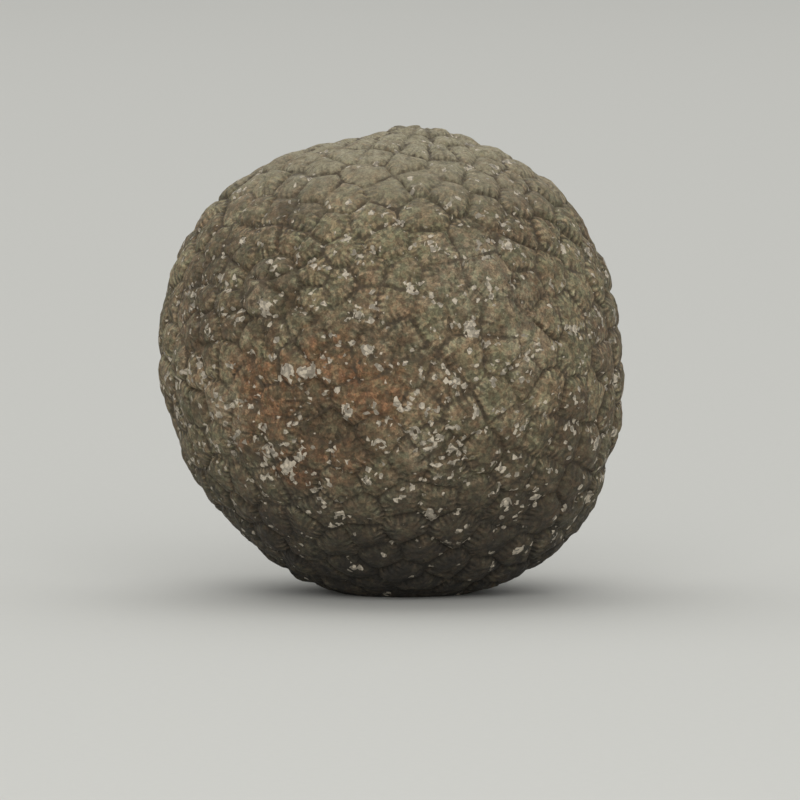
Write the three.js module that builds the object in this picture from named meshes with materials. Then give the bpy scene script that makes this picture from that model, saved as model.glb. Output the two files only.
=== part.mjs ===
// Fossil cystoid: the globular theca of an Ordovician echinoderm, a hollow ball of
// many small calcite plates that filled with lime mud and turned to one solid stone.
// Millimetres, +Z up. It stands on its worn base at z = 0, with the mouth on top, the
// anal pyramid high on the front left, and its front facing -Y.
import * as THREE from "three";

// ---------------------------------------------------------------- driving dimensions
const BODY_RADIUS = 18.35; // mean radius of the theca, to the faces of its plates
const BODY_CENTRE = new THREE.Vector3(-0.05, 0.1, 18.4); // the plane z = 0 cuts off the worn base

// Broad swellings and hollows that take the ball off round: where they are, how far they
// rise, and the angle in degrees over which they fade.
const SWELLINGS = [
  { name: "base", toward: [0.05, 0, -1], rise: 0.75, spread: 24 },
  { name: "right heel", toward: [0.7, -0.15, -0.7], rise: 1.6, spread: 27 },
  { name: "left heel hollow", toward: [-0.8, -0.2, -0.56], rise: -0.5, spread: 28 },
  { name: "right shoulder", toward: [0.62, 0.05, 0.78], rise: 0.85, spread: 24 },
  { name: "left shoulder", toward: [-0.8, 0.1, 0.6], rise: 0.75, spread: 26 },
  { name: "belly", toward: [-0.1, -0.98, -0.15], rise: 0.15, spread: 34 },
  { name: "back hollow", toward: [-0.35, 0.9, 0.25], rise: -0.6, spread: 28 },
  { name: "back heel", toward: [0.2, 0.8, -0.56], rise: 0.7, spread: 26 },
];
const UNEVENNESS = { count: 60, rise: 0.24, spread: 11 }; // lesser lumps and dents at random
const LUMP_SEED = 1861; // start of the random numbers that place them

// Plates are the cells around their growth centres.
const PLATE_SEED = 4127; // start of the random numbers that place the plates
const PLATE_SPACING = 2.55; // least distance between growth centres
const PLACING_TRIES = 16000; // enough to fill the whole body at that distance
const CROWDING = { closer: 0.75, fade: 2.5 }; // plates stand closer beside an opening
const PUSH = { rounds: 3, reach: 1.45 * PLATE_SPACING, share: 0.1 }; // evens out the plates
const NEIGHBOURS = 26; // nearest growth centres that can bound one plate
const SUTURE_DEPTH = 0.34; // depth of the groove between two plates
const SUTURE_SLOPE = 0.46; // width of each side of that groove
const PLATE_DOME = 0.2; // how far a plate's centre stands over its rim
const PLATE_LIFT = 0.13; // most that one plate sits higher or lower than the body
const SHORTEST_SIDE = 0.32; // plate corners closer than this are one corner
const WEAR_HEIGHT = 1.1; // relief fades out over this height above the base

// Openings of the animal, each with rings of small plates: [plates, ring radius].
const MOUTH = {
  toward: [0.12, 0.03, 0.99],
  centre: true,
  rings: [[6, 1.65], [11, 3.7]],
  turn: 0.3,
  reach: 5.6,
};
const PERIPROCT = {
  toward: [-0.53, -0.755, 0.385],
  centre: false,
  rings: [[6, 1.5], [12, 4.1]],
  turn: 0.1,
  reach: 6.2,
};
const STEM = {
  toward: [0.03, 0, -1],
  centre: true,
  rings: [[6, 3.2]],
  turn: 0.0,
  reach: 5.4,
};
const RING_JITTER = 0.09; // uneven growth, so that no four corners meet exactly

const MOUTH_RISE = { height: 0.6, spread: 8.5 }; // low cone that carries the mouth
const MOUTH_PIT = 0.75; // depth of the mouth below its rim
const PYRAMID = { height: 0.75, radius: 2.9, moat: 0.28, moatWidth: 0.75 };
const STEM_PIT = 0.55; // depth of the canal in the middle of the stem's scar

// Places where plates have spalled off and the filling shows.
const SPALL_DEPTH = 0.5;
const SPALLS = [
  [-0.27, -0.96, -0.05], [-0.4, -0.91, -0.12], [-0.2, -0.97, -0.2],
  [0.62, 0.66, 0.42], [0.5, 0.76, 0.4], [-0.62, 0.5, -0.6], [0.93, -0.02, -0.36],
];

// --------------------------------------------------------------------------- helpers
const unit = (list) => new THREE.Vector3(...list).normalize();

// Park-Miller generator, so that the plates fall in the same places every time.
function randomSource(seed) {
  let state = seed;
  return () => {
    state = (state * 16807) % 2147483647;
    return state / 2147483647;
  };
}

// An even choice of direction, by Marsaglia's method.
function randomDirection(random) {
  for (;;) {
    const a = 2 * random() - 1;
    const b = 2 * random() - 1;
    const s = a * a + b * b;
    if (s < 1) {
      const k = 2 * Math.sqrt(1 - s);
      return new THREE.Vector3(a * k, b * k, 1 - 2 * s);
    }
  }
}

// Two directions at right angles to each other and to the given one.
function sideways(direction) {
  const upright = Math.abs(direction.z) > 0.9;
  const steady = upright ? new THREE.Vector3(1, 0, 0) : new THREE.Vector3(0, 0, 1);
  const across = new THREE.Vector3().crossVectors(steady, direction).normalize();
  return [across, new THREE.Vector3().crossVectors(direction, across)];
}

// A smooth hump of the given rise around one direction.
function hump(direction, toward, rise, spread) {
  const width = 1 - Math.cos(THREE.MathUtils.degToRad(spread));
  return rise * Math.exp((direction.dot(toward) - 1) / width);
}

// Distance over the body between two directions, in mm.
const between = (a, b) => BODY_RADIUS * a.distanceTo(b);

// ---------------------------------------------------------------------- body surface
const mouthAt = unit(MOUTH.toward);
const periproctAt = unit(PERIPROCT.toward);
const stemAt = unit(STEM.toward);

const lumps = SWELLINGS.map(({ toward, rise, spread }) => ({ toward: unit(toward), rise, spread }));
const lumpRandom = randomSource(LUMP_SEED);
for (let i = 0; i < UNEVENNESS.count; i++) {
  const toward = randomDirection(lumpRandom);
  const rise = UNEVENNESS.rise * (2 * lumpRandom() - 1);
  lumps.push({ toward, rise, spread: UNEVENNESS.spread });
}

// Height of the anal pyramid and of the shallow moat around it.
function pyramidHeight(direction) {
  const distance = between(direction, periproctAt);
  const cone = Math.max(0, 1 - distance / PYRAMID.radius);
  const offMoat = (distance - PYRAMID.radius) / PYRAMID.moatWidth;
  return PYRAMID.height * cone - PYRAMID.moat * Math.exp(-offMoat * offMoat);
}

// Distance from the body's centre to its surface, before the relief of the plates.
function bodyRadius(direction) {
  let radius = BODY_RADIUS + pyramidHeight(direction);
  radius += hump(direction, mouthAt, MOUTH_RISE.height, MOUTH_RISE.spread);
  for (const lump of lumps) radius += hump(direction, lump.toward, lump.rise, lump.spread);
  return radius;
}

// A point on the stone: relief fades where the base is worn, and the base is flat.
function surfacePoint(direction, relief) {
  const radius = bodyRadius(direction);
  const height = BODY_CENTRE.z + direction.z * radius;
  const kept = THREE.MathUtils.smoothstep(height, 0, WEAR_HEIGHT);
  const point = direction.clone().multiplyScalar(radius + relief * kept).add(BODY_CENTRE);
  point.z = Math.max(point.z, 0);
  return point;
}

// ------------------------------------------------------------------- growth centres
const openings = [MOUTH, PERIPROCT, STEM];

// Growth centres of the small plates around an opening.
function ringCentres(opening, random) {
  const middle = unit(opening.toward);
  const [across, along] = sideways(middle);
  const centres = opening.centre ? [middle] : [];
  opening.rings.forEach(([count, radius], ring) => {
    for (let i = 0; i < count; i++) {
      const angle = (2 * Math.PI * (i + 0.5 * ring)) / count + opening.turn;
      const r = (radius + RING_JITTER * (2 * random() - 1)) / BODY_RADIUS;
      centres.push(
        middle.clone()
          .addScaledVector(across, r * Math.cos(angle))
          .addScaledVector(along, r * Math.sin(angle))
          .normalize(),
      );
    }
  });
  return centres;
}

// Least distance between growth centres near a direction.
function spacingAt(direction) {
  let spacing = PLATE_SPACING;
  for (const opening of openings) {
    const away = between(direction, unit(opening.toward)) - opening.reach;
    spacing -= CROWDING.closer * Math.exp(-Math.max(0, away) / CROWDING.fade);
  }
  return spacing;
}

// Growth centres of all plates: those around the openings first, then the rest at random.
function growthCentres(random) {
  const centres = openings.flatMap((opening) => ringCentres(opening, random));
  const fixed = centres.length;
  for (let i = 0; i < PLACING_TRIES; i++) {
    const candidate = randomDirection(random);
    if (openings.some((o) => between(candidate, unit(o.toward)) < o.reach)) continue;
    const spacing = spacingAt(candidate);
    if (centres.every((c) => between(candidate, c) > spacing)) centres.push(candidate);
  }
  // Crowded neighbours push each other apart.
  for (let round = 0; round < PUSH.rounds; round++) {
    const moved = centres.map((c, i) => {
      if (i < fixed) return c;
      const push = new THREE.Vector3();
      centres.forEach((other, j) => {
        const distance = between(c, other);
        if (j === i || distance > PUSH.reach) return;
        push.addScaledVector(c.clone().sub(other), (PUSH.reach - distance) / distance);
      });
      return c.clone().addScaledVector(push, PUSH.share).normalize();
    });
    moved.forEach((c, i) => (centres[i] = c));
  }
  return centres;
}

// ------------------------------------------------------------------------- plates
// Cell of one growth centre: in the plane that touches the ball there, a wide square from
// which every neighbour cuts off what lies nearer to it. Each corner is named by the three
// centres that it lies between.
function cellCorners(centres, index) {
  const middle = centres[index];
  const [across, along] = sideways(middle);
  const square = [[-1, -1], [1, -1], [1, 1], [-1, 1]];
  let corners = square.map(([x, y]) => ({ x, y, next: -1 }));
  const near = centres
    .map((c, i) => ({ i, distance: c.distanceTo(middle) }))
    .filter(({ i }) => i !== index)
    .sort((a, b) => a.distance - b.distance)
    .slice(0, NEIGHBOURS);
  for (const { i } of near) {
    const away = middle.clone().sub(centres[i]);
    const [a, b, c] = [away.dot(across), away.dot(along), away.dot(middle)];
    const inside = corners.map(({ x, y }) => a * x + b * y + c);
    const kept = [];
    corners.forEach((corner, k) => {
      const after = corners[(k + 1) % corners.length];
      const [here, there] = [inside[k], inside[(k + 1) % corners.length]];
      if (here > 0) kept.push(corner);
      if (here > 0 !== there > 0) {
        const t = here / (here - there);
        const x = corner.x + t * (after.x - corner.x);
        const y = corner.y + t * (after.y - corner.y);
        kept.push({ x, y, next: here > 0 ? i : corner.next });
      }
    });
    corners = kept;
  }
  // "next" names the neighbour across the side that follows a corner.
  return corners.map(({ next }, k) => {
    const before = corners[(k + corners.length - 1) % corners.length].next;
    return [index, before, next].sort((p, q) => p - q).join(" ");
  });
}

// Corner shared by three growth centres: the direction at equal distance from them.
function cornerDirection(centres, key) {
  const [a, b, c] = key.split(" ").map((i) => centres[i]);
  const normal = b.clone().sub(a).cross(c.clone().sub(a)).normalize();
  return normal.dot(a) < 0 ? normal.negate() : normal;
}

// Every plate as a ring of corner numbers, and the direction of every corner.
function layPlates(centres) {
  const numbers = new Map();
  const corners = [];
  const rings = centres.map((_, i) =>
    cellCorners(centres, i).map((key) => {
      if (!numbers.has(key)) {
        numbers.set(key, corners.length);
        corners.push(cornerDirection(centres, key));
      }
      return numbers.get(key);
    }),
  );
  // Corners that nearly meet become one.
  const same = corners.map((_, i) => i);
  const root = (i) => (same[i] === i ? i : (same[i] = root(same[i])));
  for (const ring of rings) {
    ring.forEach((a, k) => {
      const b = ring[(k + 1) % ring.length];
      const [low, high] = [root(a), root(b)].sort((p, q) => p - q);
      if (between(corners[a], corners[b]) < SHORTEST_SIDE) same[high] = low;
    });
  }
  const differsFromNext = (a, k, ring) => a !== ring[(k + 1) % ring.length];
  const plates = rings.map((ring) => ring.map(root).filter(differsFromNext));
  return { corners, plates };
}

// Number of the growth centre nearest to a direction.
function nearestCentre(centres, direction) {
  const reach = centres.map((c) => c.dot(direction));
  return reach.indexOf(Math.max(...reach));
}

// Mean distance in mm from a plate's centre to the middles of its sides.
function meanReach(middle, ring) {
  const reaches = ring.map((corner, k) => {
    const next = ring[(k + 1) % ring.length];
    return between(middle, corner.clone().lerp(next, 0.5));
  });
  return reaches.reduce((sum, reach) => sum + reach, 0) / reaches.length;
}

// ------------------------------------------------------------------------- the solid
function thecaGeometry() {
  const random = randomSource(PLATE_SEED);
  const centres = growthCentres(random);
  const { corners, plates } = layPlates(centres);
  const lifts = centres.map(() => PLATE_LIFT * (2 * random() - 1));
  const spalled = new Set(SPALLS.map((place) => nearestCentre(centres, unit(place))));
  const pits = new Map([
    [nearestCentre(centres, mouthAt), MOUTH_PIT],
    [nearestCentre(centres, stemAt), STEM_PIT],
  ]);

  const points = corners.map((direction) => surfacePoint(direction, -SUTURE_DEPTH));
  const triangles = [];
  plates.forEach((ring, index) => {
    const middle = centres[index];
    const fill = spalled.has(index) ? -SPALL_DEPTH : lifts[index];
    const inset = SUTURE_SLOPE / meanReach(middle, ring.map((a) => corners[a]));
    const rim = ring.map((a) => {
      const direction = corners[a].clone().lerp(middle, inset).normalize();
      return points.push(surfacePoint(direction, fill)) - 1;
    });
    const top = surfacePoint(middle, fill + PLATE_DOME);
    if (pits.has(index)) {
      top.copy(surfacePoint(middle, 0)).addScaledVector(middle, -pits.get(index));
    }
    const centre = points.push(top) - 1;
    ring.forEach((a, k) => {
      const l = (k + 1) % ring.length;
      const b = ring[l];
      triangles.push([rim[k], a, b], [rim[k], b, rim[l]], [centre, rim[k], rim[l]]);
    });
  });

  const geometry = new THREE.BufferGeometry();
  const positions = points.flatMap((p) => p.toArray());
  geometry.setAttribute("position", new THREE.Float32BufferAttribute(positions, 3));
  geometry.setIndex(triangles.flat());
  geometry.computeVertexNormals();
  return geometry;
}

const stone = new THREE.MeshStandardMaterial({ color: 0x7b715e, roughness: 0.85, metalness: 0 });
const theca = new THREE.Mesh(thecaGeometry(), stone);
theca.name = "cystoid_theca";

const fossil = new THREE.Group();
fossil.add(theca);

export default fossil;
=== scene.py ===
"""The looks of the fossil cystoid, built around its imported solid.

The plates are laid by the same rules, seeds and sizes as those of the solid, so that each
plate, suture and opening is where the solid has it. Here every plate is a fine mesh of its
own shape, with its weathering, and one procedural stone gives the colours. Lengths are in
millimetres, and become metres only where a mesh, a lamp or the camera is made.
"""

import json
import math
from collections import namedtuple

import bpy
import numpy as np
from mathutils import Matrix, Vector, noise


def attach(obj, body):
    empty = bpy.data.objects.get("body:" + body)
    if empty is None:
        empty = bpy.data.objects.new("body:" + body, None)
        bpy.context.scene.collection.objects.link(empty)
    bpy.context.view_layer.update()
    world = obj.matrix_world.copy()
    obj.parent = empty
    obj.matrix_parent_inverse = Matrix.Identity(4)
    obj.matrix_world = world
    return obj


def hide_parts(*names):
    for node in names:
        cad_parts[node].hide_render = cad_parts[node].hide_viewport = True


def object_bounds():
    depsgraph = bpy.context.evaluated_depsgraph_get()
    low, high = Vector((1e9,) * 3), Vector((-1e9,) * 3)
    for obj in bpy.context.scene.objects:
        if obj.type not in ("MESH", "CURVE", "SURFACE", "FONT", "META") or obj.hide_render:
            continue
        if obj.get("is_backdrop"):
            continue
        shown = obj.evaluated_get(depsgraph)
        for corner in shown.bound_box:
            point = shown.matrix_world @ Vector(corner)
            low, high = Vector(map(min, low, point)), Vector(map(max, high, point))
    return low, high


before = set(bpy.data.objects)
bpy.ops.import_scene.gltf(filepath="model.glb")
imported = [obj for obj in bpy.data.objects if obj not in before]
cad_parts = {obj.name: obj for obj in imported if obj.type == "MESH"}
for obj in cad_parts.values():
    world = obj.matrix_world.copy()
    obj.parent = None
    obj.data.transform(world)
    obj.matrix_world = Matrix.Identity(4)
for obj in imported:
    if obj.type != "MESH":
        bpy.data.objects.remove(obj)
solid_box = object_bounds()

MM = 0.001
DRAW_MULTIPLIER, DRAW_MODULUS = 16807, 2147483647  # of the Park-Miller random numbers
STEEP = 0.9  # a direction that rises more than this is nearly upright

# ------------------------------------------------- the theca's shape, as in the solid (mm)
BODY_RADIUS = 18.35
BODY_CENTRE = np.array([-0.05, 0.1, 18.4])

# Broad swellings and hollows: where they are, how far they rise, and the degrees over
# which they fade.
SWELLINGS = {
    "base": ((0.05, 0, -1), 0.75, 24),
    "right heel": ((0.7, -0.15, -0.7), 1.6, 27),
    "left heel hollow": ((-0.8, -0.2, -0.56), -0.5, 28),
    "right shoulder": ((0.62, 0.05, 0.78), 0.85, 24),
    "left shoulder": ((-0.8, 0.1, 0.6), 0.75, 26),
    "belly": ((-0.1, -0.98, -0.15), 0.15, 34),
    "back hollow": ((-0.35, 0.9, 0.25), -0.6, 28),
    "back heel": ((0.2, 0.8, -0.56), 0.7, 26),
}
UNEVEN_COUNT, UNEVEN_RISE, UNEVEN_SPREAD = 60, 0.24, 11
LUMP_SEED = 1861

PLATE_SEED = 4127
PLATE_SPACING = 2.55  # least distance between growth centres
PLACING_TRIES = 16000
CROWD_CLOSER, CROWD_FADE = 0.75, 2.5  # plates stand closer beside an opening
PUSH_ROUNDS, PUSH_REACH, PUSH_SHARE = 3, 1.45 * PLATE_SPACING, 0.1
NEIGHBOURS = 26
SHORTEST_SIDE = 0.32  # plate corners closer than this are one corner
PLATE_LIFT = 0.13  # most that one plate sits higher or lower than the body
PLATE_DOME = 0.2
WEAR_HEIGHT = 1.1  # relief fades out over this height above the base

# Openings: direction, whether a plate sits in the middle, rings of (plates, radius), the
# angle the rings start at, and how far the ordinary plates stay away.
MOUTH = ((0.12, 0.03, 0.99), True, ((6, 1.65), (11, 3.7)), 0.3, 5.6)
PERIPROCT = ((-0.53, -0.755, 0.385), False, ((6, 1.5), (12, 4.1)), 0.1, 6.2)
STEM = ((0.03, 0, -1), True, ((6, 3.2),), 0.0, 5.4)
RING_JITTER = 0.09
MOUTH_RISE, MOUTH_SPREAD, MOUTH_PIT = 0.6, 8.5, 0.75
PYRAMID_HEIGHT, PYRAMID_RADIUS, MOAT_DEPTH, MOAT_WIDTH = 0.75, 2.9, 0.28, 0.75
STEM_PIT = 0.55
PIT_RADIUS = 0.95  # of the mouth and of the stem's canal, at their rims
PIT_FLOOR_RADIUS = 0.4 * PIT_RADIUS

SPALL_DEPTH = 0.5
SPALLS = (
    (-0.27, -0.96, -0.05), (-0.4, -0.91, -0.12), (-0.2, -0.97, -0.2),
    (0.62, 0.66, 0.42), (0.5, 0.76, 0.4), (-0.62, 0.5, -0.6), (0.93, -0.02, -0.36),
)

# ------------------------------------------------------------------- weathering, here only
ROWS = 8  # rows of faces from a plate's growth centre to its suture
ROW_CROWDING = 1.6  # rows stand closer towards the suture
MERGE_SHARE = 1e-7  # points whose directions agree to this are one point
SUTURE_WIDTH = 0.2  # from the suture to the shoulder of its groove
GROOVE_DEPTH = 0.24  # times GROOVE_LEVEL, give or take GROOVE_LUMPS
GROOVE_LEVEL = 0.9
GROOVE_CURVE = 1.5  # 1 makes a sharp groove, 2 a round one
PYRAMID_MARGIN = 0.5  # the grooves deepen from this far outside the anal pyramid
WAVER = 0.16  # how far a suture strays from its straight line
WAVER_SIZE, WAVER_OCTAVES, WAVER_SHIFTS = 1.6, 2, (71, 83, 97)
PLATE_TILT = 0.05  # most that a plate leans, as a slope
DOME_REACH = 1.3  # from the suture to where a plate's dome is full
LEAST_DOME = 0.5  # the flattest plate's dome, as a share of PLATE_DOME
WEATHERING_SEED = 733

# Lumps of the surface: their height in mm or their share, their size in mm, the octaves of
# the noise and its shift. Each octave has half the size and half the height of the last.
LUMP_RATIO, LUMP_FADING = 2.0, 1.0
GROOVE_LUMPS = (0.7, 2.4, 2, 5)
BROAD_LUMPS = (0.08, 1.3, 3, 31)
SMALL_LUMPS = (0.05, 0.45, 2, 43)
SPALL_LUMPS = (0.24, 0.8, 3, 53)
CRUST_LUMPS = (0.2, 0.8, 3, 61)
RAGGED_EDGE = (0.35, 1.1, 3, 17)

# Heights and depths of the marks in mm, and the share of a suture that a crust fills.
CRUST_HEIGHT, CRUST_FILLING = 0.12, 0.7
GLINT_HEIGHT = 0.05
PIT_DEPTH = 0.24
CRACK_DEPTH = 0.16

# How far inside its edge a mark is full: in mm for a spall, as a share of its radius for
# the others.
SPALL_FADE = 0.2
PIT_FADE = 0.8
OPENING_FADE = 0.5
STAIN_FADE = 0.5
SHADE_FADE = 0.6
VALVE_FADE = 0.25
GLINT_CURVE = 0.5  # below 1, crystals crowd a spot out to its edge
PIT_RAGGED, STAIN_RAGGED = 0.5, 1.2  # how ragged their edges are, next to RAGGED_EDGE

# Numbers of scattered marks over the whole body, with their least and greatest radius.
PITS = (90, 0.4, 0.9)
GLINTS = (110, 0.3, 0.7)

# Beside the mouth: angles of the food grooves, their reach and width, and the gonopore as
# its angle, its distance from the mouth and its radius.
FOOD_GROOVES, GROOVE_REACH, GROOVE_WIDTH = (20, 140, 265), 3.3, 0.24
GONOPORE = (205, 2.0, 0.5)

# Cracks: a direction they start from, their heading in degrees and their number of steps.
CRACKS = (
    ((-0.1, -0.98, 0.1), 20, 14),
    ((-0.45, -0.85, -0.3), 205, 12),
    ((0.75, -0.5, 0.4), 75, 9),
    ((0.5, 0.8, 0.2), 140, 15),
    ((-0.7, 0.5, 0.5), 320, 12),
    ((0.1, 0.1, 0.95), 250, 9),
)
CRACK_STEP, CRACK_WANDER, CRACK_WIDTH = 1.1, 0.5, 0.13

# Colours of the stone, as linear shares of red, green and blue.
OLIVE = (0.228, 0.194, 0.119, 1.0)
BROWN = (0.224, 0.162, 0.1, 1.0)
PALE = (0.4, 0.335, 0.232, 1.0)
UMBER = (0.12, 0.087, 0.053, 1.0)
MUD = (0.096, 0.073, 0.047, 1.0)
RUST = (0.3, 0.165, 0.09, 1.0)
SIENNA = (0.15, 0.083, 0.04, 1.0)
CRUST = (0.285, 0.235, 0.168, 1.0)
FILLING = (0.19, 0.142, 0.088, 1.0)
# Pale top: worn, and also lighter as a painted highlight.
WORN_AND_HIGHLIT = (0.42, 0.375, 0.253, 1.0)
# Dark soil at the base, which is also painted shade under the belly.
SOIL_AND_SHADE = (0.028, 0.025, 0.02, 1.0)
SPAR = (0.6, 0.525, 0.41, 1.0)
VALVE = (0.2, 0.168, 0.112, 1.0)

# Tints of small blotches all over the stone, to multiply the colours by.
RUDDY = (1.09, 0.98, 0.88, 1.0)
SALLOW = (0.93, 1.02, 0.93, 1.0)

# Blotches of the stone: the size of their clouds in mm, the detail, roughness and shift of
# the noise, the noise's values where a blotch starts and is full, and its share before and
# after.
Blotches = namedtuple(
    "Blotches", "size detail roughness shift start full least most", defaults=(0.0, 1.0)
)
PALE_BLOTCHES = Blotches(1.3, 5, 0.75, 7, 0.5, 0.66, 0.0, 0.8)
DARK_BLOTCHES = Blotches(0.95, 5, 0.75, 19, 0.5, 0.36, 0.0, 0.7)
RIM_BLOTCHES = Blotches(1.1, 4, 0.55, 79, 0.4, 0.6)
RUST_BLOTCHES = Blotches(0.9, 5, 0.7, 59, 0.38, 0.58, 0.45, 0.95)
SIENNA_BLOTCHES = Blotches(1.1, 5, 0.7, 23, 0.42, 0.56)
SHADE_BLOTCHES = Blotches(1.2, 5, 0.7, 89, 0.35, 0.6, 0.5, 0.88)
CRUST_BLOTCHES = Blotches(0.6, 4, 0.7, 83, 0.35, 0.55, 0.1, 0.75)
PALE_CRUST_BLOTCHES = Blotches(0.8, 5, 0.7, 37, 0.42, 0.58)
FILLING_BLOTCHES = Blotches(0.35, 4, 0.7, 97, 0.35, 0.55, 0.3, 0.9)
DARK_FILLING_BLOTCHES = Blotches(0.7, 4, 0.55, 73, 0.4, 0.6)
RUDDY_BLOTCHES = Blotches(0.7, 4, 0.8, 61, 0.42, 0.58)
MUD_BLOTCHES = Blotches(2.6, 3, 0.55, 67, 0.38, 0.6, 0.3, 0.85)
WORN_AND_HIGHLIT_BLOTCHES = Blotches(0.9, 4, 0.7, 43, 0.35, 0.6, 0.35, 1.0)
SOIL_AND_SHADE_BLOTCHES = Blotches(1.3, 4, 0.7, 113, 0.36, 0.6, 0.72, 1.0)
DULL_BLOTCHES = Blotches(0.6, 3, 0.55, 47, 0.35, 0.65, 0.6, 0.9)
RIB_BLOTCHES = Blotches(3.2, 2, 0.55, 11, 0.42, 0.58, 0.45, 1.0)
PORE_BLOTCHES = Blotches(4.0, 2, 0.55, 31, 0.4, 0.6)
SPAR_BLOTCHES = Blotches(2.4, 3, 0.6, 107, 0.38, 0.62, -0.14, 0.12)

# The same for the finest grain, with the shares by which it darkens and lightens.
FINE_GRAIN = Blotches(0.16, 2, 0.55, 13, 0.3, 0.7, 0.72, 1.3)
WORN_AND_HIGHLIT_GRAIN = Blotches(0.2, 4, 0.8, 127, 0.35, 0.65, 0.72, 1.3)

# Other noise of the stone: size, detail, roughness and shift.
ROCK_CLOUDS, ROCK_WARP = (5.5, 4, 0.55, 0), 0.6
RIB_CLOUDS = (0.9, 2, 0.55, 3)
MUD_EDGE_CLOUDS = (0.6, 4, 0.6, 29)
GRIT_CLOUDS = (0.55, 5, 0.8, 41)

# Smooth steps: the values where each starts and ends, and the shares before and after.
BROWN_STEP = (0.4, 0.62)  # on ROCK_CLOUDS
PLATE_TONE_STEP = (0.0, 1.0, 0.78, 1.14)
RIM_OUTER_STEP, RIM_INNER_STEP = (0.12, 0.3), (0.9, 0.4)  # mm from the suture
FOLD_TONE_STEP = (-1.0, 1.0, 0.54, 1.3)
GRAIN_TONE_STEP = (0.2, 0.8, 0.7, 1.35)
CRYSTAL_TONE_STEP = (0.25, 0.8, 0.6, 1.35)
MUD_STEP = (0.72, 0.52)  # mm from the suture, plus MUD_EDGE_CLOUDS
RIB_REACH_STEP = (1.35, 0.3)  # mm from the suture
PORE_CHOICE_STEP = (0.5, 0.52)
SPAR_CHOICE_STEP = (0.815, 0.855, 0.0, 0.95)

# Smooth steps over the height in mm above the floor: painted shade over the upper half, the pale
# top (worn, and lighter as a painted highlight), the soil under the belly that is also painted
# shade, and the loss of crystals at the top and, under the soil and painted shade, at the bottom.
UPPER_SHADE_STEP = (16.0, 27.0, 1.0, 0.92)
WORN_AND_HIGHLIT_STEP = (29.5, 36.5, 0.0, 0.95)
SOIL_AND_SHADE_STEP = (18.0, 1.0, 0.0, 0.98)
SPAR_WORN_STEP = (24.0, 35.0, 1.0, 0.9)
SPAR_UNDER_SOIL_AND_SHADE_STEP = (10.0, 1.0, 1.0, 0.83)

# How strong each layer is where it is full.
RIM_STRENGTH = 0.4
FOLD_STRENGTH = 0.8
VALVE_STRENGTH = 0.7
GRAIN_STRENGTH = 0.9
LOW_STRENGTH = 0.8
GLINT_CROWDING = 0.75

# Sizes of the finest forms in mm, with the shift of their noise.
RIB_PITCH = 0.52
RIB_BEND = 0.8 * RIB_PITCH  # how far a fold of the pore rhombs bends aside
GRAIN_SIZE = 0.4
SPAR_SIZE, SPAR_SHIFT = 0.38, 9
CRYSTAL_SIZE, CRYSTAL_SHIFT = 0.7 * SPAR_SIZE, 101
PORE_SPACING, PORE_SHIFT = 1.3, 5
PORE_RIM, PORE_FLOOR = 0.16, 0.088  # as shares of PORE_SPACING

# Heights of the finest relief in mm, and the gloss.
FOLD_HEIGHT = 0.13
GRIT_HEIGHT = 0.5
GRAIN_HEIGHT = 0.09
PORE_HEIGHT = -0.15
SPAR_HEIGHT = 0.04
SPAR_GLOSS = 0.35  # how much less rough a crystal is than the stone
SPECULAR_LEVEL = 0.4

# Marks placed as the photo shows them: mm right of and above the body's centre, radius.
FRONT_GLINTS = (
    (-9.7, 4.2, 0.8), (3.1, 9.0, 0.6), (1.5, 5.8, 0.6), (6.3, 2.6, 0.75), (14.3, 2.6, 0.65),
    (-1.7, 1.0, 0.6), (-6.5, -0.6, 0.85), (-8.1, -0.6, 0.6), (-3.3, -3.8, 0.6),
    (6.3, -3.8, 0.65), (-9.7, -7.0, 0.7), (-8.1, -8.6, 0.8), (3.1, -11.8, 0.85),
    (11.1, -10.2, 0.5), (15.9, -8.6, 0.5), (6.3, 15.4, 0.55), (1.5, 12.2, 0.55),
)
FRONT_RUST = (
    (-9.5, -2.5, 4.8), (-5.0, -1.0, 4.4), (-1.5, -2.5, 3.8), (-4.5, -5.8, 4.6),
    (-11.5, -5.0, 3.2), (-7.5, -8.5, 2.8),
)
# Darker patches, partly stains and partly painted shade.
FRONT_SHADE = (
    (-14.2, 7.5, 4.4), (-10.2, 4.6, 4.2), (-8.0, 12.0, 2.4), (-5.4, -5.2, 2.8),
    (-2.4, -6.0, 2.2), (14.0, -5.0, 4.2), (12.5, -9.5, 5.6), (7.5, -13.0, 6.4),
    (-0.5, -16.0, 5.6), (-9.5, -13.0, 3.6), (-14.8, 2.6, 3.4), (4.5, -6.5, 2.6),
    (8.5, -7.0, 3.0),
)
FRONT_CRUSTS = (
    (-13.0, -4.0, 3.0), (6.5, 7.0, 4.6), (2.4, -7.0, 1.8), (10.5, 1.5, 3.0),
    (-10.3, 4.8, 1.9),
)

# The same marks out of the photo's sight: direction, radius.
FAR_RUST = (((0.8, 0.55, -0.1), 4.0), ((-0.3, 0.9, 0.4), 3.4), ((-0.9, 0.3, -0.2), 3.8))
FAR_CRUSTS = (((0.3, 0.9, -0.45), 4.6), ((-0.8, 0.45, 0.1), 3.0), ((0.75, 0.3, 0.6), 2.6))

# ------------------------------------------------------------------------ the photo's view
ELEVATION = math.radians(4)
PIXELS_PER_MM = 12.5
FRAME_PIXELS = 800
BODY_PIXEL = (391, 363)  # where the body's centre is in the photo
CAMERA_DISTANCE = 0.9  # metres, as are all lengths below

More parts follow.
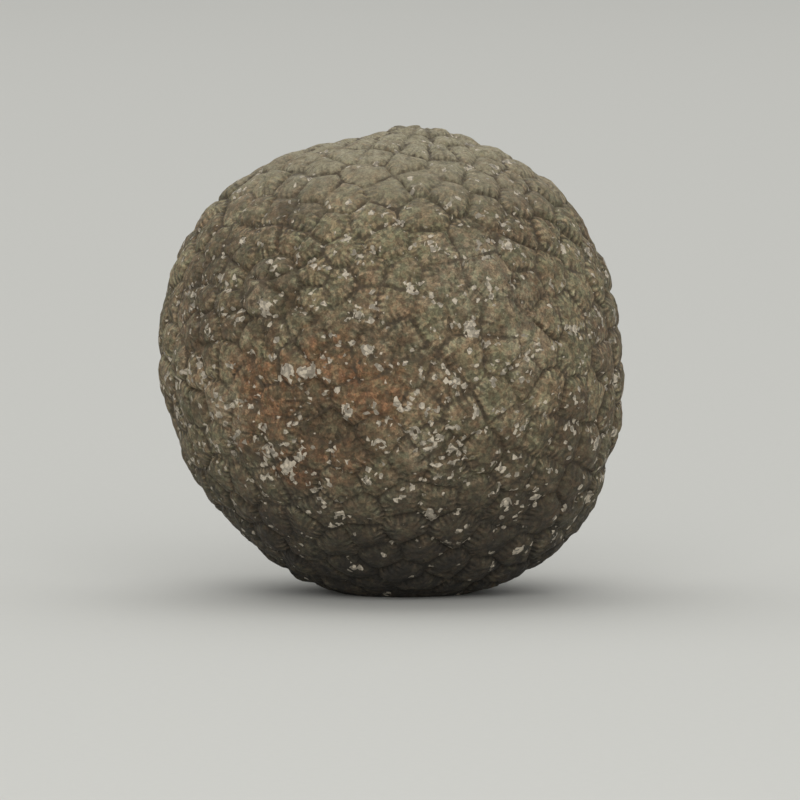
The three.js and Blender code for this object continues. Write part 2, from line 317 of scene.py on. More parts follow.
# ------------------------------------------------------------------------ floor and light
FLOOR_HALF = 3.0
PAPER_LOW = (0.55, 0.55, 0.518, 1.0)
PAPER_HIGH = (0.575, 0.575, 0.543, 1.0)
PAPER_ROUGHNESS = 0.9
FIBRE_CLOUDS = (0.8, 3, 0.55, 0)  # in mm, as those of the stone
KEY_PLACE, KEY_SIZE, KEY_POWER = (-0.2, 0.7, 1.7), 2.4, 18.0
FILL_PLACE, FILL_SIZE, FILL_POWER = (0.05, -1.1, 0.5), 0.9, 8.2
ROOM_LIGHT, ROOM_COLOUR = 0.5, (1.0, 1.0, 0.99, 1.0)


# ------------------------------------------------------------------------------ directions
def unit(vector):
    """The same direction, or directions, of length 1."""
    vector = np.asarray(vector, float)
    return vector / np.linalg.norm(vector, axis=-1, keepdims=True)


def random_source(seed):
    """Park-Miller generator of numbers between 0 and 1."""
    state = seed

    def draw():
        nonlocal state
        state = state * DRAW_MULTIPLIER % DRAW_MODULUS
        return state / DRAW_MODULUS

    return draw


def random_direction(draw):
    """An even choice of direction, by Marsaglia's method."""
    while True:
        a = 2 * draw() - 1
        b = 2 * draw() - 1
        s = a * a + b * b
        if s < 1:
            k = 2 * math.sqrt(1 - s)
            return np.array([a * k, b * k, 1 - 2 * s])


def sideways(direction):
    """Two directions at right angles to each other and to the given one."""
    steady = (1.0, 0.0, 0.0) if abs(direction[2]) > STEEP else (0.0, 0.0, 1.0)
    across = unit(np.cross(steady, direction))
    return across, np.cross(direction, across)


def between(a, b):
    """Distance over the body between two directions, in mm."""
    return BODY_RADIUS * np.linalg.norm(np.asarray(a) - b, axis=-1)


def smoothstep(value, start, end):
    """A smooth step from 0 to 1 as the value goes from start to end."""
    share = np.clip((value - start) / (end - start), 0, 1)
    return share * share * (3 - 2 * share)


def seen_from_front(right, up):
    """The direction of the point that the photo shows so many mm right of and above the
    body's centre."""
    near = math.sqrt(BODY_RADIUS**2 - right * right - up * up)
    return unit([
        right,
        up * math.sin(ELEVATION) - near * math.cos(ELEVATION),
        up * math.cos(ELEVATION) + near * math.sin(ELEVATION),
    ])


# ---------------------------------------------------------------------------- body surface
def hump(directions, toward, rise, spread):
    """A smooth hump of the given rise around one direction."""
    width = 1 - math.cos(math.radians(spread))
    return rise * np.exp((directions @ toward - 1) / width)


def body_lumps():
    """Every swelling and hollow, the named ones and the small uneven ones, as (toward,
    rise, spread)."""
    lumps = [(unit(toward), rise, spread) for toward, rise, spread in SWELLINGS.values()]
    draw = random_source(LUMP_SEED)
    for _ in range(UNEVEN_COUNT):
        toward = random_direction(draw)
        lumps.append((toward, UNEVEN_RISE * (2 * draw() - 1), UNEVEN_SPREAD))
    return lumps


def pyramid_height(directions):
    """Height of the anal pyramid and of the shallow moat around it."""
    distance = between(directions, unit(PERIPROCT[0]))
    cone = np.clip(1 - distance / PYRAMID_RADIUS, 0, None)
    off_moat = (distance - PYRAMID_RADIUS) / MOAT_WIDTH
    return PYRAMID_HEIGHT * cone - MOAT_DEPTH * np.exp(-off_moat * off_moat)


def body_radius(directions):
    """Distance from the body's centre to its surface, before the relief of the plates."""
    radius = BODY_RADIUS + pyramid_height(directions)
    radius += hump(directions, unit(MOUTH[0]), MOUTH_RISE, MOUTH_SPREAD)
    for toward, rise, spread in body_lumps():
        radius += hump(directions, toward, rise, spread)
    return radius


# -------------------------------------------------------------------------- growth centres
def ring_centres(opening, draw):
    """Growth centres of the small plates around an opening."""
    toward, has_middle, rings, turn, _ = opening
    middle = unit(toward)
    across, along = sideways(middle)
    centres = [middle] if has_middle else []
    for ring, (count, radius) in enumerate(rings):
        for i in range(count):
            angle = 2 * math.pi * (i + 0.5 * ring) / count + turn
            r = (radius + RING_JITTER * (2 * draw() - 1)) / BODY_RADIUS
            offset = across * r * math.cos(angle) + along * r * math.sin(angle)
            centres.append(unit(middle + offset))
    return centres


def growth_centres(draw):
    """Growth centres of all plates: around the openings first, then the rest at random."""
    openings = (MOUTH, PERIPROCT, STEM)
    middles = unit([opening[0] for opening in openings])
    reaches = np.array([opening[4] for opening in openings])
    rings = [centre for opening in openings for centre in ring_centres(opening, draw)]
    fixed = count = len(rings)
    centres = np.zeros((PLACING_TRIES, 3))
    centres[:count] = rings
    for _ in range(PLACING_TRIES):
        candidate = random_direction(draw)
        away = between(middles, candidate) - reaches
        if (away < 0).any():
            continue
        spacing = PLATE_SPACING - (CROWD_CLOSER * np.exp(-away / CROWD_FADE)).sum()
        if (between(centres[:count], candidate) > spacing).all():
            centres[count] = candidate
            count += 1
    centres = centres[:count]
    for _ in range(PUSH_ROUNDS):
        apart = centres[:, None] - centres[None]
        distance = BODY_RADIUS * np.linalg.norm(apart, axis=2)
        np.fill_diagonal(distance, PUSH_REACH)
        strength = np.clip((PUSH_REACH - distance) / distance, 0, None)
        strength[:fixed] = 0
        centres = unit(centres + PUSH_SHARE * (apart * strength[:, :, None]).sum(1))
    return centres


# ---------------------------------------------------------------------------------- plates
def cell_corners(centres, index):
    """Corners of one plate, each named by the three growth centres that it lies between."""
    middle = centres[index]
    across, along = sideways(middle)
    corners = [(-1, -1, -1), (1, -1, -1), (1, 1, -1), (-1, 1, -1)]
    order = np.argsort(np.linalg.norm(centres - middle, axis=1), kind="stable")
    for i in (int(i) for i in order[1 : NEIGHBOURS + 1]):
        away = middle - centres[i]
        a, b, c = away @ across, away @ along, away @ middle
        inside = [a * x + b * y + c for x, y, _ in corners]
        kept = []
        for k, (x, y, after) in enumerate(corners):
            here, there = inside[k], inside[(k + 1) % len(corners)]
            if here > 0:
                kept.append((x, y, after))
            if (here > 0) != (there > 0):
                t = here / (here - there)
                next_x, next_y, _ = corners[(k + 1) % len(corners)]
                side = i if here > 0 else after
                kept.append((x + t * (next_x - x), y + t * (next_y - y), side))
        corners = kept
    return [tuple(sorted((index, corners[k - 1][2], c[2]))) for k, c in enumerate(corners)]


def corner_direction(centres, key):
    """The direction at equal distance from three growth centres."""
    a, b, c = centres[list(key)]
    normal = unit(np.cross(b - a, c - a))
    return -normal if normal @ a < 0 else normal


def lay_plates(centres):
    """Every plate as a ring of corner numbers, and the direction of every corner."""
    numbers = {}
    corners = []
    rings = []
    for index in range(len(centres)):
        keys = cell_corners(centres, index)
        for key in keys:
            if key not in numbers:
                numbers[key] = len(corners)
                corners.append(corner_direction(centres, key))
        rings.append([numbers[key] for key in keys])
    same = list(range(len(corners)))

    def root(i):
        while same[i] != i:
            i = same[i]
        return i

    for ring in rings:
        for a, b in zip(ring, ring[1:] + ring[:1]):
            low, high = sorted((root(a), root(b)))
            if between(corners[a], corners[b]) < SHORTEST_SIDE:
                same[high] = low
    merged = [[root(a) for a in ring] for ring in rings]
    plates = [[a for k, a in enumerate(m) if a != m[(k + 1) % len(m)]] for m in merged]
    return np.array(corners), plates


def nearest(centres, toward):
    """Number of the growth centre nearest to a direction."""
    return int(np.argmax(centres @ unit(toward)))


# ------------------------------------------------------------------------------- fine mesh
def sector_grid():
    """Places of a sector's points as shares of the way from the growth centre to the side,
    and along it, and the triangles between them."""
    outward, along, starts = [0.0], [0.0], [0]
    for row in range(1, ROWS + 1):
        starts.append(len(outward))
        out = 1 - (1 - row / ROWS) ** ROW_CROWDING
        for step in range(row + 1):
            outward.append(out)
            along.append(step / row)
    triangles = []
    for row in range(ROWS):
        here, below = starts[row], starts[row + 1]
        for step in range(row + 1):
            triangles.append((here + step, below + step, below + step + 1))
        for step in range(row):
            triangles.append((here + step, below + step + 1, here + step + 1))
    return np.array(outward), np.array(along), np.array(triangles)


def fine_mesh(centres, corners, plates):
    """The theca as directions and triangles. Returns the merged points' directions, the
    number of each one's plate, the triangles, and for each triangle its plate and the
    place of its three corners: mm along the suture from its middle, and mm from it."""
    outward, along, triangles = sector_grid()
    plate = np.repeat(np.arange(len(plates)), [len(ring) for ring in plates])
    start = corners[[a for ring in plates for a in ring]]
    end = corners[[a for ring in plates for a in ring[1:] + ring[:1]]]
    middle = centres[plate]
    side_points = start[:, None] + along[:, None] * (end - start)[:, None]
    points = unit(middle[:, None] + outward[:, None] * (side_points - middle[:, None]))
    inward = unit(np.cross(start, end))
    sideway = unit(end - start)
    halfway = (start + end) / 2
    mm_along = BODY_RADIUS * ((points - halfway[:, None]) * sideway[:, None]).sum(2)
    mm_inward = BODY_RADIUS * (points * inward[:, None]).sum(2)

    whole = np.round(points.reshape(-1, 3) / MERGE_SHARE).astype(np.int64)
    _, first, number = np.unique(whole, axis=0, return_index=True, return_inverse=True)
    directions = points.reshape(-1, 3)[first]
    point_plate = np.repeat(plate, len(outward))[first]
    local = np.arange(len(plate))[:, None, None] * len(outward) + triangles
    faces = number.ravel()[local.reshape(-1, 3)]
    face_plate = np.repeat(plate, len(triangles))
    places = np.stack([mm_along, mm_inward], 2).reshape(-1, 2)[local.ravel()]
    return directions, point_plate, faces, face_plate, places


def suture_distance(directions, point_plate, corners, plates):
    """Distance in mm from each point to the nearest suture of its plate."""
    distance = np.zeros(len(directions))
    for index, ring in enumerate(plates):
        mine = point_plate == index
        start = corners[ring]
        inward = unit(np.cross(start, np.roll(start, -1, axis=0)))
        distance[mine] = BODY_RADIUS * (directions[mine] @ inward.T).min(1)
    return np.clip(distance, 0, None)


# -------------------------------------------------------------------------------- weathering
def lumpy(points, height, size, octaves, shift):
    """Smooth noise at each point, of about the given height to either side of 0, with lumps
    of the given size in mm."""
    places = [Vector(place) for place in (points / size + shift).tolist()]
    levels = [noise.fractal(place, LUMP_FADING, LUMP_RATIO, octaves) for place in places]
    return height * np.array(levels)


def spots(directions, places, ragged=0.0):
    """How far inside the nearest of some round spots each point is: 1 at a spot's middle
    and 0 at its edge and beyond. Each spot is (direction, radius in mm)."""
    inside = np.zeros(len(directions))
    for toward, radius in places:
        share = 1 - (between(directions, toward) / radius + ragged)
        np.maximum(inside, share, out=inside)
    return inside


def path_distance(directions, path):
    """Distance in mm from each point to a path given by its corners' directions."""
    nearest_yet = np.full(len(directions), np.inf)
    for start, end in zip(path, path[1:]):
        line = end - start
        share = np.clip((directions - start) @ line / (line @ line), 0, 1)
        np.minimum(
            nearest_yet, between(directions, start + share[:, None] * line), out=nearest_yet
        )
    return nearest_yet


def crack_path(start, heading, steps, draw):
    """A wandering path over the body from a direction, by steps of CRACK_STEP mm."""
    here = unit(start)
    path = [here]
    angle = math.radians(heading)
    for _ in range(steps):
        across, along = sideways(here)
        angle += CRACK_WANDER * (2 * draw() - 1)
        step = across * math.cos(angle) + along * math.sin(angle)
        here = unit(here + CRACK_STEP / BODY_RADIUS * step)
        path.append(here)
    return path


def scattered(count, small, large, draw):
    """Random spots over the whole body, with radii between two sizes in mm."""
    return [(random_direction(draw), small + (large - small) * draw()) for _ in range(count)]


def front_spots(places):
    """Spots given as (mm right, mm up, radius in mm) in the photo's view."""
    return [(seen_from_front(right, up), radius) for right, up, radius in places]


def far_spots(places):
    """Spots given as (direction, radius in mm)."""
    return [(unit(toward), radius) for toward, radius in places]


def mouth_marks(directions):
    """The distance in mm from the nearest food groove, and the spots of the openings: the
    mouth and the gonopore."""
    middle = unit(MOUTH[0])
    across, along = sideways(middle)

    def beside(degrees, reach):
        angle = math.radians(degrees)
        step = across * math.cos(angle) + along * math.sin(angle)
        return unit(middle + reach / BODY_RADIUS * step)

    paths = [(middle, beside(angle, GROOVE_REACH)) for angle in FOOD_GROOVES]
    distance = np.min([path_distance(directions, path) for path in paths], axis=0)
    angle, reach, radius = GONOPORE
    return distance, [(middle, PIT_RADIUS), (beside(angle, reach), radius)]


def weather(directions, gap, point_plate, centres):
    """The marks on every point, made by time or the animal, and the darker patches that are
    partly painted shade, each as a share of 0 to 1.
    """
    draw = random_source(WEATHERING_SEED)
    ragged = lumpy(directions * BODY_RADIUS, *RAGGED_EDGE)
    cracks = [crack_path(start, heading, steps, draw) for start, heading, steps in CRACKS]
    crack_distance = np.min([path_distance(directions, path) for path in cracks], axis=0)
    groove_distance, opening_spots = mouth_marks(directions)
    cracked = np.exp(-((crack_distance / CRACK_WIDTH) ** 2))
    grooved = np.exp(-((groove_distance / GROOVE_WIDTH) ** 2))
    pits = spots(directions, scattered(*PITS, draw), PIT_RAGGED * ragged)
    sparry = scattered(*GLINTS, draw) + front_spots(FRONT_GLINTS)
    crusts = front_spots(FRONT_CRUSTS) + far_spots(FAR_CRUSTS)
    stains = front_spots(FRONT_RUST) + far_spots(FAR_RUST)
    shades = front_spots(FRONT_SHADE)
    spalled_plates = [nearest(centres, toward) for toward in SPALLS]
    openings = smoothstep(spots(directions, opening_spots), 0, OPENING_FADE)
    to_periproct = between(directions, unit(PERIPROCT[0])) / PYRAMID_RADIUS
    return {
        "spalled": np.isin(point_plate, spalled_plates) * smoothstep(gap, 0, SPALL_FADE),
        "pitted": np.maximum(smoothstep(pits, 0, PIT_FADE), openings),
        "cracked": np.maximum(cracked, grooved),
        "glint": spots(directions, sparry) ** GLINT_CURVE,
        "crust": smoothstep(spots(directions, crusts, ragged), 0, STAIN_FADE),
        "rust": smoothstep(spots(directions, stains, STAIN_RAGGED * ragged), 0, STAIN_FADE),
        "shade": smoothstep(spots(directions, shades, ragged), 0, SHADE_FADE),
        "valve": smoothstep(to_periproct, 1, 1 - VALVE_FADE),
    }


def groove_depth(directions, gap):
    """Depth in mm of the sutures' grooves at every point: uneven, and up to twice as deep
    on the anal pyramid, where they part its valves."""
    depth = GROOVE_DEPTH * (GROOVE_LEVEL + lumpy(directions * BODY_RADIUS, *GROOVE_LUMPS))
    to_periproct = between(directions, unit(PERIPROCT[0]))
    depth *= 1 + smoothstep(to_periproct, PYRAMID_RADIUS + PYRAMID_MARGIN, 0)
    return depth * np.exp(-((gap / SUTURE_WIDTH) ** GROOVE_CURVE))


def relief(directions, gap, point_plate, centres, lifts, marks, draw):
    """Height in mm of every point over the plain body."""
    places = directions * BODY_RADIUS
    crown = np.array([LEAST_DOME + draw() for _ in centres])[point_plate]
    tilt = np.array([random_direction(draw) for _ in centres])[point_plate]
    leaning = PLATE_TILT * ((places - centres[point_plate] * BODY_RADIUS) * tilt).sum(1)
    height = PLATE_DOME * crown * smoothstep(gap, 0, DOME_REACH)
    height += smoothstep(gap, 0, 2 * SUTURE_WIDTH) * (lifts[point_plate] + leaning)
    height = height * (1 - marks["spalled"]) - SPALL_DEPTH * marks["spalled"]
    height -= groove_depth(directions, gap) * (1 - CRUST_FILLING * marks["crust"])
    height += lumpy(places, *BROAD_LUMPS) + lumpy(places, *SMALL_LUMPS)
    height += marks["spalled"] * lumpy(places, *SPALL_LUMPS)
    height += marks["crust"] * (CRUST_HEIGHT + lumpy(places, *CRUST_LUMPS))
    height += GLINT_HEIGHT * marks["glint"]
    height -= PIT_DEPTH * marks["pitted"] + CRACK_DEPTH * marks["cracked"]
    return height


# -------------------------------------------------------------------------------- the stone
class Painter:
    """Adds shader nodes to one material and wires them up. Lengths are in mm."""

    def __init__(self, material):
        material.use_nodes = True
        self.tree = material.node_tree
        self.tree.nodes.clear()
        where = self.node("ShaderNodeTexCoord").outputs["Object"]
        scale = self.node("ShaderNodeVectorMath", {0: where, 3: 1 / MM}, operation="SCALE")
        self.place = scale.outputs[0]
        self.up = self.node("ShaderNodeSeparateXYZ", {0: self.place}).outputs[2]

    def node(self, kind, inputs=None, **settings):
        """A node with these settings, and these links or values on its inputs."""
        made = self.tree.nodes.new(kind)
        for name, value in settings.items():
            setattr(made, name, value)
        for socket, value in (inputs or {}).items():
            if isinstance(value, bpy.types.NodeSocket):
                self.tree.links.new(value, made.inputs[socket])
            else:
                made.inputs[socket].default_value = value
        return made

    def moved(self, shift):
        """The place in mm, moved by the shift along all three axes."""
        inputs = {0: self.place, 1: (shift, shift, shift)}
        return self.node("ShaderNodeVectorMath", inputs).outputs[0]

    def clouds(self, size, detail, roughness, shift, warp=0.0):
        """Cloudy noise between 0 and 1, with clouds of the given size."""
        inputs = {
            "Vector": self.moved(shift),
            "Scale": 1 / size,
            "Detail": detail,
            "Roughness": roughness,
            "Distortion": warp,
        }
        return self.node("ShaderNodeTexNoise", inputs).outputs[0]

    def blotches(self, kind):
        """The share, at every point, of one kind of Blotches."""
        clouds = self.clouds(kind.size, kind.detail, kind.roughness, kind.shift)
        return self.share(clouds, kind.start, kind.full, kind.least, kind.most)

    def cells(self, size, output="Distance", shift=0):
        """Grains of the given size: the distance from their middles, or a colour for each."""
        inputs = {"Vector": self.moved(shift), "Scale": 1 / size}
        return self.node("ShaderNodeTexVoronoi", inputs).outputs[output]

    def attribute(self, name, output="Fac"):
        """One of the values that the mesh carries."""
        return self.node("ShaderNodeAttribute", attribute_name=name).outputs[output]

    def share(self, value, start, end, low=0.0, high=1.0):
        """A smooth step from low to high as the value goes from start to end."""
        inputs = {
            "Value": value,
            "From Min": start,
            "From Max": end,
            "To Min": low,
            "To Max": high,
        }
        settings = {"interpolation_type": "SMOOTHSTEP"}
        return self.node("ShaderNodeMapRange", inputs, **settings).outputs[0]

    def maths(self, operation, a, b=0.0):
        """One or two values, put through one of the Math node's operations."""
        return self.node("ShaderNodeMath", {0: a, 1: b}, operation=operation).outputs[0]

    def product(self, *values):
        """All the values multiplied together."""
        total = values[0]
        for value in values[1:]:
            total = self.maths("MULTIPLY", total, value)
        return total

    def mix(self, share, under, over, blend="MIX"):
        """One colour over another, by a share of 0 to 1."""
        inputs = {0: share, 6: under, 7: over}
        settings = {"data_type": "RGBA", "blend_type": blend}
        return self.node("ShaderNodeMix", inputs, **settings).outputs[2]

    def toned(self, tone, level, strength=1.0):
        """A colour made darker or lighter by a plain value."""
        grey = self.node("ShaderNodeCombineColor", {0: level, 1: level, 2: level}).outputs[0]
        return self.mix(strength, tone, grey, "MULTIPLY")


def rhomb_ribs(paint):
    """The fine folds that cross every suture at right angles, as a height of -1 to 1, and
    how plain they are: most at the suture, and gone near a growth centre and on the anal
    pyramid."""
    apart = paint.node("ShaderNodeSeparateXYZ", {0: paint.attribute("rhomb_place", "Vector")})
    along, inward = apart.outputs[0], apart.outputs[1]
    bent = paint.product(paint.clouds(*RIB_CLOUDS), RIB_BEND)
    turn = paint.product(paint.maths("ADD", along, bent), 2 * math.pi / RIB_PITCH)
    wave = paint.maths("COSINE", turn)
    near = paint.share(inward, *RIB_REACH_STEP)
    off_valves = paint.maths("SUBTRACT", 1.0, paint.attribute("valve"))
    return wave, paint.product(near, paint.blotches(RIB_BLOTCHES), off_valves)


def pores(paint):
    """Small round holes, here and there, as a share of 0 to 1."""
    hole = paint.share(paint.cells(PORE_SPACING, shift=PORE_SHIFT), PORE_RIM, PORE_FLOOR)
    chosen = paint.share(paint.cells(PORE_SPACING, "Color", PORE_SHIFT), *PORE_CHOICE_STEP)
    return paint.product(hole, chosen, paint.blotches(PORE_BLOTCHES))


def spar_grains(paint):
    """Pale crystal grains: sprinkled all over, crowded where a spot of them lies, and fewer
    on the worn top and near the base, under the soil and painted shade."""
    chance = paint.cells(SPAR_SIZE, "Color", SPAR_SHIFT)
    crowding = paint.product(paint.attribute("glint"), GLINT_CROWDING)
    crowding = paint.maths("ADD", crowding, paint.blotches(SPAR_BLOTCHES))
    unworn = paint.share(paint.up, *SPAR_WORN_STEP)
    clear_of_soil_and_shade = paint.share(paint.up, *SPAR_UNDER_SOIL_AND_SHADE_STEP)
    chance = paint.product(paint.maths("ADD", chance, crowding), unworn, clear_of_soil_and_shade)
    return paint.share(chance, *SPAR_CHOICE_STEP)


def rock_tone(paint):
    """The bare rock: olive and brown clouds with paler and darker blotches."""
    brown = paint.share(paint.clouds(*ROCK_CLOUDS, warp=ROCK_WARP), *BROWN_STEP)
    tone = paint.mix(brown, OLIVE, BROWN)
    tone = paint.mix(paint.blotches(PALE_BLOTCHES), tone, PALE)
    return paint.mix(paint.blotches(DARK_BLOTCHES), tone, UMBER)


def with_plates(paint, tone, wave, ribs):
    """Each plate a little darker or lighter, with a paler rim and the folds on it, and the
    smooth valves of the anal pyramid."""
    tone = paint.toned(tone, paint.share(paint.attribute("plate_tone"), *PLATE_TONE_STEP))
    gap = paint.attribute("suture_gap")
    outer = paint.share(gap, *RIM_OUTER_STEP)
    inner = paint.share(gap, *RIM_INNER_STEP)
    rim = paint.product(outer, inner, paint.blotches(RIM_BLOTCHES), RIM_STRENGTH)
    tone = paint.mix(rim, tone, PALE)
    folds = paint.share(wave, *FOLD_TONE_STEP)
    tone = paint.toned(tone, folds, paint.product(ribs, FOLD_STRENGTH))
    return paint.mix(paint.product(paint.attribute("valve"), VALVE_STRENGTH), tone, VALVE)


def with_stains_and_shade(paint, tone):
    """Rust, darker patches that are partly stains and partly painted shade, crusts and the
    filling that shows where a plate has spalled.
    """
    rusty = paint.mix(paint.blotches(SIENNA_BLOTCHES), RUST, SIENNA)
    crusty = paint.mix(paint.blotches(PALE_CRUST_BLOTCHES), CRUST, PALE)
    filling = paint.mix(paint.blotches(DARK_FILLING_BLOTCHES), FILLING, UMBER)
    for mark, kind, colour in (
        ("rust", RUST_BLOTCHES, rusty),
        ("shade", SHADE_BLOTCHES, UMBER),
        ("crust", CRUST_BLOTCHES, crusty),
        ("spalled", FILLING_BLOTCHES, filling),
    ):
        tone = paint.mix(paint.product(paint.attribute(mark), paint.blotches(kind)), tone, colour)
    return tone


def with_grain(paint, tone):
    """Grains and still finer grain, darker and lighter, and small ruddy and sallow
    blotches."""
    grains = paint.share(paint.cells(GRAIN_SIZE, "Color"), *GRAIN_TONE_STEP)
    tone = paint.toned(tone, grains, GRAIN_STRENGTH)
    tone = paint.toned(tone, paint.blotches(FINE_GRAIN), GRAIN_STRENGTH)
    tint = paint.mix(paint.blotches(RUDDY_BLOTCHES), SALLOW, RUDDY)
    return paint.mix(1.0, tone, tint, "MULTIPLY")


def with_upper_shade_and_highlit_top(paint, tone):
    """Painted shade over the upper half, and a pale top: worn, and lighter as a painted
    highlight.
    """
    tone = paint.toned(tone, paint.share(paint.up, *UPPER_SHADE_STEP))
    worn_and_highlit = paint.product(paint.share(paint.up, *WORN_AND_HIGHLIT_STEP), paint.blotches(WORN_AND_HIGHLIT_BLOTCHES))
    return paint.mix(worn_and_highlit, tone, paint.toned(WORN_AND_HIGHLIT, paint.blotches(WORN_AND_HIGHLIT_GRAIN)))


def with_mud(paint, tone, holes):
    """Mud in the sutures, pits, cracks and pores."""
    edge = paint.maths("ADD", paint.attribute("suture_gap"), paint.clouds(*MUD_EDGE_CLOUDS))
    mud = paint.product(paint.share(edge, *MUD_STEP), paint.blotches(MUD_BLOTCHES))
    tone = paint.mix(mud, tone, MUD)
    for low in (paint.attribute("pitted"), paint.attribute("cracked"), holes):
        tone = paint.mix(paint.product(low, LOW_STRENGTH), tone, MUD)
    return tone


def with_soil_and_painted_shade(paint, tone):
    """Dark soil that thickens from the belly down to the base; it is also painted shade under the
    fossil.
    """
    soil_and_shade = paint.product(paint.share(paint.up, *SOIL_AND_SHADE_STEP), paint.blotches(SOIL_AND_SHADE_BLOTCHES))
    return paint.mix(soil_and_shade, tone, SOIL_AND_SHADE)


def with_crystals(paint, tone, spar):
    """The pale crystal grains on top of all else, each a little darker or lighter."""
    level = paint.cells(CRYSTAL_SIZE, "Color", CRYSTAL_SHIFT)
    return paint.mix(spar, tone, paint.toned(SPAR, paint.share(level, *CRYSTAL_TONE_STEP)))


def stone_colour(paint, wave, ribs, holes, spar):
    """Colour of the stone, from the rock out to what lies on it."""
    tone = with_plates(paint, rock_tone(paint), wave, ribs)
    tone = with_stains_and_shade(paint, tone)
    tone = with_grain(paint, tone)
    tone = with_upper_shade_and_highlit_top(paint, tone)
    tone = with_mud(paint, tone, holes)
    tone = with_soil_and_painted_shade(paint, tone)
    return with_crystals(paint, tone, spar)


def stone_bump(paint, wave, ribs, holes, spar):
    """The relief too fine for the mesh: the folds, grit, grains, pores and crystals."""
    total = paint.product(wave, ribs, FOLD_HEIGHT)
    for height in (
        paint.product(paint.clouds(*GRIT_CLOUDS), GRIT_HEIGHT),
        paint.product(paint.cells(GRAIN_SIZE), GRAIN_HEIGHT),
        paint.product(holes, PORE_HEIGHT),
        paint.product(spar, SPAR_HEIGHT),
    ):
        total = paint.maths("ADD", total, height)
    inputs = {"Height": total, "Distance": MM, "Strength": 1.0}
    return paint.node("ShaderNodeBump", inputs).outputs[0]


def stone_material():
    """Weathered calcite, matt and granular, with crystal grains that shine a little."""
    material = bpy.data.materials.new("fossil_stone")
    paint = Painter(material)
    wave, ribs = rhomb_ribs(paint)
    holes = pores(paint)
    spar = spar_grains(paint)
    gloss = paint.product(spar, SPAR_GLOSS)
    surface = paint.node("ShaderNodeBsdfPrincipled", {
        "Base Color": stone_colour(paint, wave, ribs, holes, spar),
        "Roughness": paint.maths("SUBTRACT", paint.blotches(DULL_BLOTCHES), gloss),
        "Specular IOR Level": SPECULAR_LEVEL,
        "Normal": stone_bump(paint, wave, ribs, holes, spar),
    })
    paint.node("ShaderNodeOutputMaterial", {0: surface.outputs[0]})
    return material


# --------------------------------------------------------------------------------- the piece
def stone_points(directions, gap, height):
    """Every point of the stone in mm: relief fades where the base is worn, and the base is
    flat but for the canal in the middle of the stem's scar."""
    radius = body_radius(directions)
    level = BODY_CENTRE[2] + directions[:, 2] * radius
    kept = smoothstep(level, 0, WEAR_HEIGHT)
    places = directions * BODY_RADIUS
    sides = [lumpy(places, WAVER, WAVER_SIZE, WAVER_OCTAVES, s) for s in WAVER_SHIFTS]
    strayed = unit(directions + np.stack(sides, 1) / BODY_RADIUS)
    points = strayed * (radius + height * kept)[:, None] + BODY_CENTRE
    points[:, 2] = np.maximum(points[:, 2], 0)
    for opening, depth in ((MOUTH, MOUTH_PIT), (STEM, STEM_PIT)):
        toward = unit(opening[0])
        pit = smoothstep(between(directions, toward), PIT_RADIUS, PIT_FLOOR_RADIUS)
        points -= depth * pit[:, None] * toward
    return points


def add_attribute(mesh, name, values, kind="FLOAT", domain="POINT"):
    """Gives a mesh a named value, or vector, for every point, corner or face."""
    made = mesh.attributes.new(name, kind, domain)
    made.data.foreach_set("value" if kind == "FLOAT" else "vector", np.ravel(values))


def make_theca():
    """The whole fossil as one piece."""
    draw = random_source(PLATE_SEED)
    centres = growth_centres(draw)
    corners, plates = lay_plates(centres)
    lifts = np.array([PLATE_LIFT * (2 * draw() - 1) for _ in plates])
    tones = np.array([draw() for _ in plates])
    directions, point_plate, faces, face_plate, places = fine_mesh(centres, corners, plates)
    gap = suture_distance(directions, point_plate, corners, plates)
    marks = weather(directions, gap, point_plate, centres)
    height = relief(directions, gap, point_plate, centres, lifts, marks, draw)
    points = stone_points(directions, gap, height)

    mesh = bpy.data.meshes.new("fossil_theca")
    mesh.from_pydata((points * MM).tolist(), [], faces.tolist())
    mesh.shade_smooth()
    for name, values in marks.items():
        add_attribute(mesh, name, values)
    add_attribute(mesh, "suture_gap", gap)
    add_attribute(mesh, "plate_tone", tones[face_plate], domain="FACE")
    flat_places = np.column_stack([places, np.zeros(len(places))])
    add_attribute(mesh, "rhomb_place", flat_places, kind="FLOAT_VECTOR", domain="CORNER")
    theca = bpy.data.objects.new("fossil_theca", mesh)
    bpy.context.collection.objects.link(theca)
    mesh.materials.append(stone_material())
    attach(theca, "root")
    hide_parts("cystoid_theca")


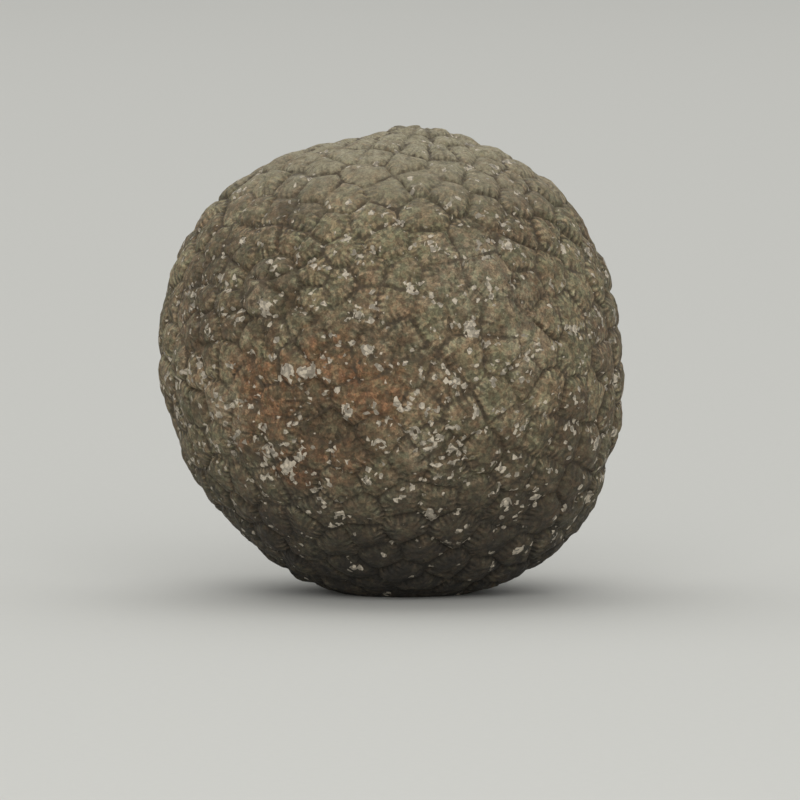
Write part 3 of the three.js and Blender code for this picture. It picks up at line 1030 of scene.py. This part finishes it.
# ------------------------------------------------------------------ floor, light and camera
def make_floor():
    """A plain pale floor, too wide for its edge to be seen."""
    half = FLOOR_HALF
    mesh = bpy.data.meshes.new("floor")
    corners = [(-half, -half, 0), (half, -half, 0), (half, half, 0), (-half, half, 0)]
    mesh.from_pydata(corners, [], [(0, 1, 2, 3)])
    floor = bpy.data.objects.new("floor", mesh)
    bpy.context.collection.objects.link(floor)
    material = bpy.data.materials.new("pale_paper")
    paint = Painter(material)
    fibre = paint.clouds(*FIBRE_CLOUDS)
    surface = paint.node("ShaderNodeBsdfPrincipled", {
        "Base Color": paint.mix(fibre, PAPER_LOW, PAPER_HIGH),
        "Roughness": PAPER_ROUGHNESS,
    })
    paint.node("ShaderNodeOutputMaterial", {0: surface.outputs[0]})
    mesh.materials.append(material)
    floor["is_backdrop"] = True


def make_lamp(name, place, size, power):
    """A square soft box that shines at the middle of the fossil."""
    light = bpy.data.lights.new(name, "AREA")
    light.size = size
    light.energy = power
    lamp = bpy.data.objects.new(name, light)
    lamp.location = place
    aim = Vector(BODY_CENTRE * MM) - lamp.location
    lamp.rotation_euler = aim.to_track_quat("-Z", "Y").to_euler()
    lamp.visible_camera = False
    bpy.context.collection.objects.link(lamp)


def make_light():
    """A large soft box overhead and a little behind, a smaller one in front, and even light
    from all round."""
    make_lamp("key", KEY_PLACE, KEY_SIZE, KEY_POWER)
    make_lamp("fill", FILL_PLACE, FILL_SIZE, FILL_POWER)
    world = bpy.data.worlds.new("room")
    world.use_nodes = True
    background = world.node_tree.nodes["Background"]
    background.inputs["Color"].default_value = ROOM_COLOUR
    background.inputs["Strength"].default_value = ROOM_LIGHT
    bpy.context.scene.world = world


def make_camera():
    """A long lens at the photo's angle, with the body's centre at its place in the photo."""
    back = Vector((0, -math.cos(ELEVATION), math.sin(ELEVATION)))
    upward = Vector((0, math.sin(ELEVATION), math.cos(ELEVATION)))
    right = (FRAME_PIXELS / 2 - BODY_PIXEL[0]) / PIXELS_PER_MM
    up = (BODY_PIXEL[1] - FRAME_PIXELS / 2) / PIXELS_PER_MM
    target = (Vector(BODY_CENTRE) + Vector((right, 0, 0)) + up * upward) * MM
    data = bpy.data.cameras.new("camera")
    data.lens = data.sensor_width * CAMERA_DISTANCE / (FRAME_PIXELS / PIXELS_PER_MM * MM)
    camera = bpy.data.objects.new("camera", data)
    camera.location = target + back * CAMERA_DISTANCE
    camera.rotation_euler = back.to_track_quat("Z", "Y").to_euler()
    bpy.context.collection.objects.link(camera)
    bpy.context.scene.camera = camera


def write_sizes():
    """Turns the solid's box and the visual model's box, in metres, into JSON text, which is not
    kept.
    """
    boxes = {"solid": solid_box, "visual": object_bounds()}
    plain = {name: [list(corner) for corner in box] for name, box in boxes.items()}
    json.dumps(plain["solid"]) + "\n" + json.dumps(plain["visual"]) + "\n"


make_theca()
make_floor()
make_light()
make_camera()
bpy.context.scene.view_settings.view_transform = "Standard"
write_sizes()
